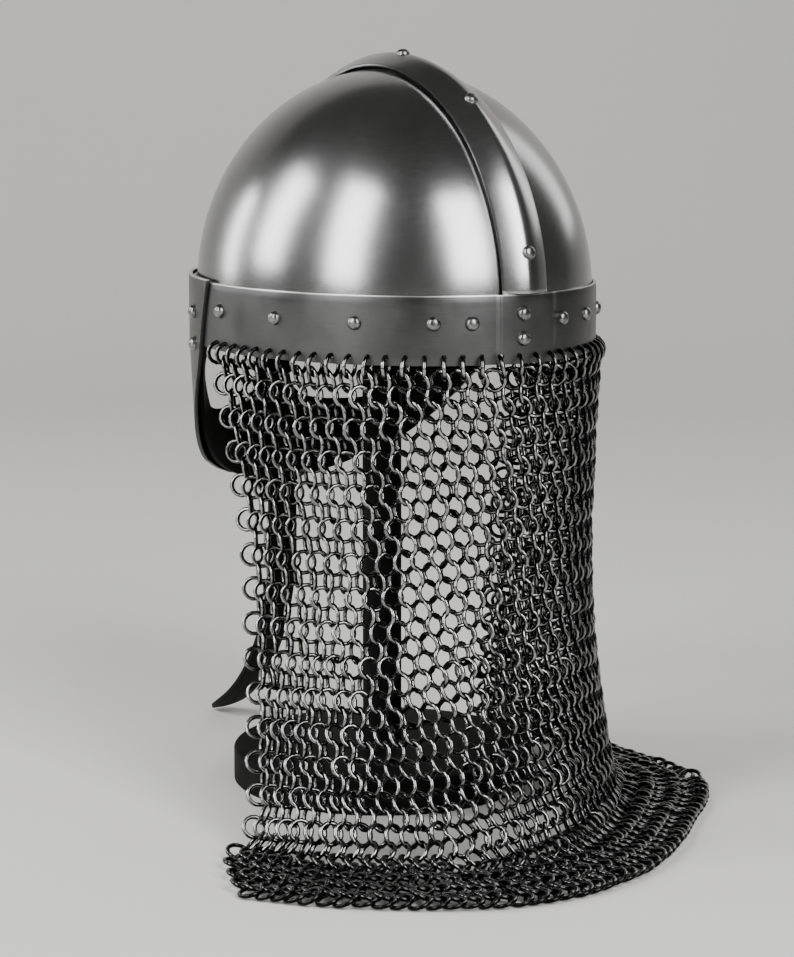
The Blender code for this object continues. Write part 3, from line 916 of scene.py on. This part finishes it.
@dataclass
class MailCurtain:
    """The net of linked rings that hangs from the band and lies out on the table."""

    form: Form
    maker: Maker
    band_low: float
    edge: float = 98.5
    low_left: float = 66.0
    low_right: float = 116.0
    hem_left: float = 57.0
    hem_right: float = 110.0
    bend: float = 0.014
    flare_start: float = 0.42
    flare_least: float = 0.010
    flare_most: float = 0.044
    reach_least: float = 0.035
    reach_back: float = 0.060
    reach_most: float = 0.116
    pinch: float = 0.004
    fold: float = 0.0014
    folds: float = 9.0
    drawn_in: float = 0.08
    flare_power: float = 1.8
    thick: float = 0.003
    pitch: float = 0.0094
    widest: float = 0.0098
    gathered: float = 0.0083
    inside: float = 0.0087
    wire: float = 0.0023
    rows: int = 38
    lie: float = 0.0030
    hook_drop: float = 0.0010
    lean: float = 40.0
    lie_lean: float = 19.0
    uneven_turn: float = 4.0
    uneven_place: tuple = (0.0003, 0.0002)
    hook_lean: float = 84.0
    sides: int = 14
    wire_sides: int = 6
    # Strength of the painted highlight where the wire faces into the net.
    back_share: float = 0.75
    seed: int = 7
    pieces: int = 3

    @property
    def columns(self) -> int:
        """Number of rings in the top row."""
        form = self.form
        return int(2 * (form.run_at(0.0) - form.run_at(self.edge)) / self.pitch)

    def turns(self) -> list:
        """Return the turns at which the top row hooks into the band."""
        return [self.turn(part, 0.0) for part in self.net()[0]]

    def net(self) -> list:
        """Return each row's rings as shares across, each ring between two of the row above.

        Lower rows get a few rings more wherever the net has spread too far.
        """
        count = self.columns
        rows = [[(i + 0.5) / count for i in range(count)]]
        middle = self.column(0.4)
        for j in range(1, self.rows):
            above = rows[-1]
            row = [(one + two) / 2 for one, two in zip(above, above[1:])]
            if j % 2 == 0:
                row = [row[0] - (row[1] - row[0])] + row + [row[-1] + (row[-1] - row[-2])]
            down = middle[j]
            widest = self.widest + (self.gathered - self.widest) * ease(down * 2.0 - 1.0)
            while True:
                spots = [self.spot(part, down) for part in row]
                gaps = [(two - one).length for one, two in zip(spots, spots[1:])]
                wide = max(gaps)
                if wide < widest or down > 2.5:
                    break
                at = gaps.index(wide)
                row.insert(at + 1, (row[at] + row[at + 1]) / 2)
                for _ in range(3):
                    inner = [
                        (one + 2 * two + three) / 4
                        for one, two, three in zip(row, row[1:], row[2:])
                    ]
                    row = [row[0]] + inner + [row[-1]]
            rows.append(row)
        return rows

    def turn(self, part: float, fall: float) -> float:
        """Return the turn at a share across and a share of the way down."""
        top = self.form.share_turn(part, self.edge, self.edge)
        low = self.form.share_turn(part, self.low_left, self.low_right)
        drawn = fall + self.drawn_in * math.sin(math.tau * fall) * (1.0 - fall)
        return top + (low - top) * drawn

    def off(self, turn: float, fall: float) -> float:
        """Return how far the hanging net stands off the band's oval."""
        wide = self.flare_most - self.flare_least
        most = self.flare_least + wide * ease((turn + 45.0) / 70.0)
        grow = max(0.0, (fall - self.flare_start) / (1.0 - self.flare_start)) ** self.flare_power
        pinch = self.pinch * math.sin(math.pi * fall) * ease(-turn / 50.0)
        fold = self.fold * fall**2 * math.sin(math.radians(self.folds * turn))
        return most * grow - pinch + fold - self.form.sheet / 2

    def reach(self, turn: float) -> float:
        """Return how far the hem lies out from the band's oval."""
        wide = self.reach_most - self.reach_back
        reach = self.reach_back + wide * ease((turn + 35.0) / 60.0)
        return reach - (self.reach_back - self.reach_least) * ease((-turn - 50.0) / 32.0)

    def spot(self, part: float, row: float) -> Vector:
        """Return a point on the middle of the net.

        Args:
            part: Share across, from the left front edge to the right.
            row: 0 to 1 where the net hangs, to 2 where it bends, to 3 where it lies.

        Returns:
            The point.
        """
        form = self.form
        foot = self.thick / 2 + self.bend
        if row <= 1.0:
            turn = self.turn(part, row)
            z = self.band_low + (foot - self.band_low) * row
            return form.oval(turn, self.off(turn, row), z)
        turn = self.turn(part, 1.0)
        off = self.off(turn, 1.0)
        slope = (off - self.off(turn, 0.96)) / (0.04 * (self.band_low - foot))
        corner = off + slope * self.bend
        share = min(1.0, row - 1.0)
        keep = 1.0 - share
        bent = keep**2 * off + 2 * keep * share * corner + share**2 * (corner + self.bend)
        point = form.oval(turn, bent, self.lie + self.bend * keep**2)
        if row > 2.0:
            hem_turn = self.hem_left - (self.hem_left + self.hem_right) * part
            hem = form.oval(hem_turn, self.reach(hem_turn) - self.lie, self.lie)
            point = point.lerp(hem, row - 2.0)
        return point

    def column(self, part: float) -> list:
        """Return the row value of each ring of one column, evenly spaced down it."""
        marks = [i / 60 for i in range(61)] + [1 + i / 12 for i in range(1, 13)]
        marks += [2 + i / 16 for i in range(1, 17)]
        spots = [self.spot(part, mark) for mark in marks]
        runs = [0.0]
        for before, after in zip(spots, spots[1:]):
            runs.append(runs[-1] + (after - before).length)
        wanted = [runs[-1] * j / (self.rows - 1) for j in range(self.rows)]
        return [float(value) for value in np.interp(wanted, runs, marks)]

    def ring(self) -> tuple:
        """Return the points, faces and outward directions of a ring in the XY plane."""
        bm = bmesh.new()
        middle = (self.inside + self.wire) / 2
        bmesh.ops.create_circle(
            bm, segments=self.wire_sides, radius=self.wire / 2,
            matrix=Matrix.Translation((middle, 0, 0)) @ Matrix.Rotation(math.pi / 2, 4, "X"),
        )
        spin(bm, bm.verts[:] + bm.edges[:], self.sides)
        bmesh.ops.recalc_face_normals(bm, faces=bm.faces[:])
        bm.verts.ensure_lookup_table()
        points = np.array([vert.co[:] for vert in bm.verts])
        faces = np.array([[vert.index for vert in face.verts] for face in bm.faces])
        bm.free()
        level = points * (1.0, 1.0, 0.0)
        core = level / np.linalg.norm(level, axis=1, keepdims=True) * middle
        return points, faces, (points - core) / (self.wire / 2)

    def places(self) -> list:
        """Return the middle of every ring, its axes as columns, and the way out of the net."""
        rng = random.Random(self.seed)
        grid = np.linspace(0.0, 1.0, 41)
        table = np.array([self.column(part) for part in grid])
        found = []
        for j, parts in enumerate(self.net()):
            lean = Lean.LEFT if j % 2 == 0 else Lean.RIGHT
            for part in parts:
                row = float(np.interp(part, grid, table[:, j]))
                found.append(self.ring_frame(part, row, j == 0, lean, rng))
        return found

    def ring_frame(
        self, part: float, row: float, hooks: bool, lean: Lean, rng: random.Random
    ) -> tuple:
        """Place one ring.

        Args:
            part: Share across the net.
            row: Place down the net.
            hooks: Whether the ring hangs in a hole of the band.
            lean: The side to which the ring's row leans.
            rng: Source of the small irregularities.

        Returns:
            The middle, a matrix whose columns are the ring's axes, and the way out of the net.
        """
        if hooks:
            turn = self.turn(part, 0.0)
            mid = self.form.lift(turn) - self.form.sheet / 2
            here = self.form.oval(turn, mid, self.band_low - self.hook_drop)
            out, up = self.form.normal(turn), UP
        else:
            here = self.spot(part, row)
            across = self.spot(part + 0.004, row) - self.spot(part - 0.004, row)
            along = self.spot(part, row + 0.02) - self.spot(part, max(0.0, row - 0.02))
            out, up = along.cross(across).normalized(), -along.normalized()
        side = up.cross(out).normalized()
        flat = ease(row - 1.2)
        tilt = self.hook_lean if hooks else self.lean + (self.lie_lean - self.lean) * flat
        angle = math.radians(tilt * lean.value + rng.gauss(0.0, self.uneven_turn))
        nod = math.radians(rng.gauss(0.0, self.uneven_turn) * (1.0 - 0.6 * flat))
        basis = Matrix((side, up, out)).transposed()
        turned = basis @ Matrix.Rotation(angle, 3, "Y") @ Matrix.Rotation(nod, 3, "X")
        loose = Vector((*(rng.gauss(0, size) for size in self.uneven_place), 0.0))
        if not hooks:
            here = here + basis @ loose
        low = (self.inside + self.wire) / 2 * math.hypot(turned[2][0], turned[2][1])
        here.z = max(here.z, low + self.wire / 2 + CLEAR)
        return here, turned, out

    def build(self, wire: Material) -> None:
        """Set a ring at every place and join them into a few pieces."""
        points, faces, ways = self.ring()
        places = self.places()
        size = math.ceil(len(places) / self.pieces)
        for k in range(self.pieces):
            part = places[k * size:(k + 1) * size]
            verts, loops, painted_light_masks = [], [], []
            for i, (middle, basis, out) in enumerate(part):
                axes = np.array(basis).T
                verts.append(points @ axes + np.array(middle))
                loops.append(faces + i * len(points))
                # Where the wire faces out of the net, and more weakly where it faces in, it gets
                # the painted highlight; its sides get painted shade.
                facing = ways @ axes @ np.array(out)
                painted_light_masks.append(np.maximum(facing, self.back_share * -facing))
            mesh = bpy.data.meshes.new(f"mail_rings_{k + 1}")
            mesh.from_pydata(np.concatenate(verts).tolist(), [], np.concatenate(loops).tolist())
            made = put(mesh.name, mesh)
            painted_light_mask = mesh.attributes.new("painted_light_mask", "FLOAT", "POINT")
            painted_light_mask.data.foreach_set("value", np.concatenate(painted_light_masks).astype(np.float32))
            smooth(mesh)
            mesh.materials.append(wire)
            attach(made, "root")
            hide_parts("mail_aventail")
            LOG.info("%s: %d rings", made.name, len(part))


@dataclass
class ChinStrap:
    """The leather loop behind the guard and its free tail."""

    form: Form
    maker: Maker
    width: float = 0.018
    thick: float = 0.003
    reach: float = 0.110
    low: float = 0.161
    top: float = 0.266
    front: float = 0.1115
    tail_top: float = 0.172
    tail_bend: float = 0.110
    tail_length: float = 0.0785
    tail_tip: float = 0.007
    tail_clear: float = 0.0006
    tail_narrow: float = 0.86

    def loop_spot(self, along: float, across: float, off: float) -> Vector:
        """Return a point of the loop from its shares along -1..1 and across -1..1."""
        form = self.form
        angle = along * math.pi / 2
        run = self.reach * math.sin(angle)
        z = self.low + (self.top - self.low) * (1.0 - math.cos(angle))
        slope = Vector((self.reach * math.cos(angle), (self.top - self.low) * math.sin(angle)))
        slope.normalize()
        run -= slope.y * across * self.width / 2
        z += slope.x * across * self.width / 2
        turn = form.turn_at(run)
        wall = -2 * form.sheet - 4 * form.gap - self.thick / 2
        front = self.front - form.half_a
        deep = wall + (front - wall) * math.cos(min(1.0, abs(along)) * math.pi / 2) ** 2
        return form.oval(turn, deep + off, z)

    def tail_path(self, count: int) -> list:
        """Return the tail's route from its top to its tip as level and height pairs."""
        form = self.form
        y = form.back - self.front - self.thick - form.gap
        bend = self.tail_bend
        reach = self.tail_length
        tip = self.thick / 2 + self.tail_clear
        ends = ((y, bend), (y - reach * 0.04, bend * 0.55), (y - reach * 0.43, bend * 0.15),
                (y - reach, tip))
        path = [(y, self.tail_top + (bend - self.tail_top) * i / 12) for i in range(12)]
        for i in range(count + 1):
            t = i / count
            s = 1.0 - t
            weights = (s**3, 3 * s * s * t, 3 * s * t * t, t**3)
            path.append(tuple(sum(w * p[k] for w, p in zip(weights, ends)) for k in (0, 1)))
        return path

    def build(self, leather: Material) -> None:
        """Build the loop and the tail as bent straps with rounded edges."""
        half = self.thick / 2
        bm = bent_grid(6, 120, lambda u, v: self.loop_spot(v * 2 - 1, 1 - u * 2, half))
        self.maker.piece(
            "chin_strap_loop", bm, leather, ["chin_strap"], "black_leather", self.thick, 0.0008
        )
        path = self.tail_path(60)
        last = len(path) - 1

        def spot(u: float, v: float) -> Vector:
            i = min(last - 1, int(v * last))
            start = Vector((0.0, *path[i]))
            run = Vector((0.0, *path[i + 1])) - start
            here = start + run * (v * last - i)
            out = Vector((1, 0, 0)).cross(run.normalized())
            near = max(0.0, (v - self.tail_narrow) / (1.0 - self.tail_narrow))
            wide = self.width / 2 * (1 - near**2) + self.tail_tip / 2 * near**2
            side = Vector(((u * 2 - 1) * wide, 0.0, 0.0))
            return here + side + (-out if out.y > 0 else out) * half

        bm = bent_grid(6, last, spot)
        self.maker.piece(
            "chin_strap_end", bm, leather, ["chin_strap_tail"], "black_leather", self.thick, 0.0008
        )


@dataclass
class Stand:
    """The round base and the post with its head."""

    maker: Maker
    edge: float = 0.002
    post: float = 0.0105
    thick: float = 0.032
    ball: float = 0.050
    top_gap: float = 0.0002
    round_share: float = 0.96

    def build(self, paint: Material) -> None:
        """Turn the base and the post on the lathe."""
        _, high = corners("stand_base")
        radius = high.x
        profile = [(0.0, 0.0), (radius - self.edge / 2, 0.0), (radius, self.edge / 2)]
        for i in range(7):
            angle = math.pi / 2 * i / 6
            profile.append((radius - self.edge * (1.0 - math.cos(angle)),
                            high.z - self.edge * (1.0 - math.sin(angle))))
        profile.append((0.0, high.z))
        self.maker.piece("stand_disc", lathe(profile, 128), paint, ["stand_base"], "black_stand")
        low, high = corners("stand_post")
        neck = high.z - self.thick
        profile = [
            (0.0, low.z), (self.post, low.z), (self.post, neck), (high.x * self.round_share, neck),
            (high.x, neck + self.thick * 0.07),
        ]
        for i in range(13):
            radius = high.x * self.round_share * math.cos(math.pi / 2 * i / 12)
            fall = self.ball - math.sqrt(self.ball**2 - radius**2)
            profile.append((radius, high.z - fall - self.top_gap))
        self.maker.piece(
            "stand_post_turned", lathe(profile, 64), paint, ["stand_post"], "black_stand"
        )


# The studio


@dataclass
class Studio:
    """Pale floor, soft lights and the camera at the photograph's angle."""

    form: Form
    distance: float = 1.4538
    height: float = 0.3968
    angle: float = 33.22
    focal: float = 2746.0
    axis_pixel: float = 392.1
    horizon_pixel: float = 42.8
    frame_size: tuple = (794.0, 957.0)
    film: float = 36.0
    near_clip: float = 0.05
    aim_height: float = 0.3
    floor_size: float = 9.0
    floor_near: float = 3.5
    sweep: float = 1.6
    sweep_bend: float = 1.2
    reach: float = 2.3
    sky_colour: tuple = (0.62, 0.62, 0.60, 1.0)
    sky_strength: float = 0.12

    def build(self) -> None:
        """Set up everything round the helmet."""
        self.floor()
        self.lights()
        self.camera()
        self.sky()

    def camera(self) -> None:
        """Place the camera where the photograph was taken from."""
        wide, tall = self.frame_size
        around = math.radians(self.angle)
        data = bpy.data.cameras.new("camera")
        data.sensor_width = self.film
        data.lens = self.focal * self.film / tall
        data.clip_start = self.near_clip
        made = put("camera", data)
        made.location = (
            self.distance * math.sin(around),
            self.form.back + self.distance * math.cos(around),
            self.height,
        )
        pitch = math.atan((tall / 2 - self.horizon_pixel) / self.focal)
        pan = math.atan((wide / 2 - self.axis_pixel) / self.focal)
        made.rotation_euler = (math.pi / 2 - pitch, 0.0, math.pi - around - pan)
        bpy.context.scene.camera = made

    def floor(self) -> None:
        """Lay a pale floor that sweeps up far behind the helmet."""
        around = math.radians(self.angle)
        away = Vector((-math.sin(around), -math.cos(around), 0.0))
        side = Vector((-away.y, away.x, 0.0))

        def spot(across: float, along: float) -> Vector:
            run = along * self.floor_size - self.floor_near
            bend = self.sweep_bend
            angle = min(math.pi / 2, max(0.0, (run - self.sweep) / bend))
            level = min(run, self.sweep) + bend * math.sin(angle)
            z = bend * (1.0 - math.cos(angle)) + max(0.0, run - self.sweep - bend * math.pi / 2)
            return side * (across - 0.5) * self.floor_size + away * level + UP * z

        mesh = mesh_from("floor", bent_grid(1, 90, spot))
        smooth(mesh)
        made = put("floor", mesh)
        paint = Paint("pale_floor")
        mesh.materials.append(paint.dress(base_color=(0.80, 0.79, 0.77), roughness=0.6))

    def lights(self) -> None:
        """Hang the soft boxes: name, turn, rise, width and height, and power in watts."""
        middle = Vector((0.0, self.form.back, self.aim_height))
        for name, around, up, size, power in (
            ("window_far", 150.0, 10.0, (0.26, 0.9), 9.0),
            ("window_left", 124.0, 22.0, (0.55, 1.4), 27.0),
            ("window_middle", 80.0, 26.0, (0.70, 1.9), 48.0),
            ("window_right", 3.0, 28.0, (1.00, 1.8), 60.0),
            ("window_side", -100.0, 30.0, (0.6, 1.8), 8.0),
        ):
            turn = math.radians(around)
            rise = math.radians(up)
            level = math.cos(rise)
            way = Vector((math.sin(turn) * level, math.cos(turn) * level, math.sin(rise)))
            data = bpy.data.lights.new(name, "AREA")
            data.shape = "RECTANGLE"
            data.size, data.size_y = size
            data.energy = power
            made = put(name, data)
            made.location = middle + way * self.reach
            made.rotation_euler = (-way).to_track_quat("-Z", "Y").to_euler()

    def sky(self) -> None:
        """Light the studio evenly from all round."""
        world = bpy.data.worlds.new("studio")
        bpy.context.scene.world = world
        world.use_nodes = True
        back = world.node_tree.nodes["Background"]
        back.inputs["Color"].default_value = self.sky_colour
        back.inputs["Strength"].default_value = self.sky_strength


def main() -> None:
    """Build every sub-assembly in order and report each piece."""
    logging.basicConfig(level=logging.INFO, format="%(name)s: %(message)s")
    form = Form()
    maker = Maker()
    names = sorted(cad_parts)
    steel = PolishedSteel().make()
    rivets = RivetSteel().make()
    band = BrowBand(form, maker)
    mail = MailCurtain(form, maker, band.low)
    dark = DarkSteel("dark_band_steel", band.high).make()
    guard_steel = DarkSteel("dark_guard_steel", corners("face_guard")[1].z).make()
    Skullcap(form, maker, band.high).build(steel)
    band.build(dark, mail.turns())
    # The guard's inside is painted near black as painted shade.
    FaceGuard(form, maker).build(guard_steel, BlackPaint("painted_shade_inside").make(), band.low)
    for group in ("band", "guard", "ridge"):
        nodes = [name for name in names if name.startswith(group + "_rivet")]
        RivetRow(form, maker, band.high).build(group + "_rivet_heads", nodes, rivets)
    mail.build(MailWire().make())
    ChinStrap(form, maker).build(BlackLeather().make())
    Stand(maker).build(BlackPaint().make())
    Studio(form).build()


if __name__ == "__main__":
    main()
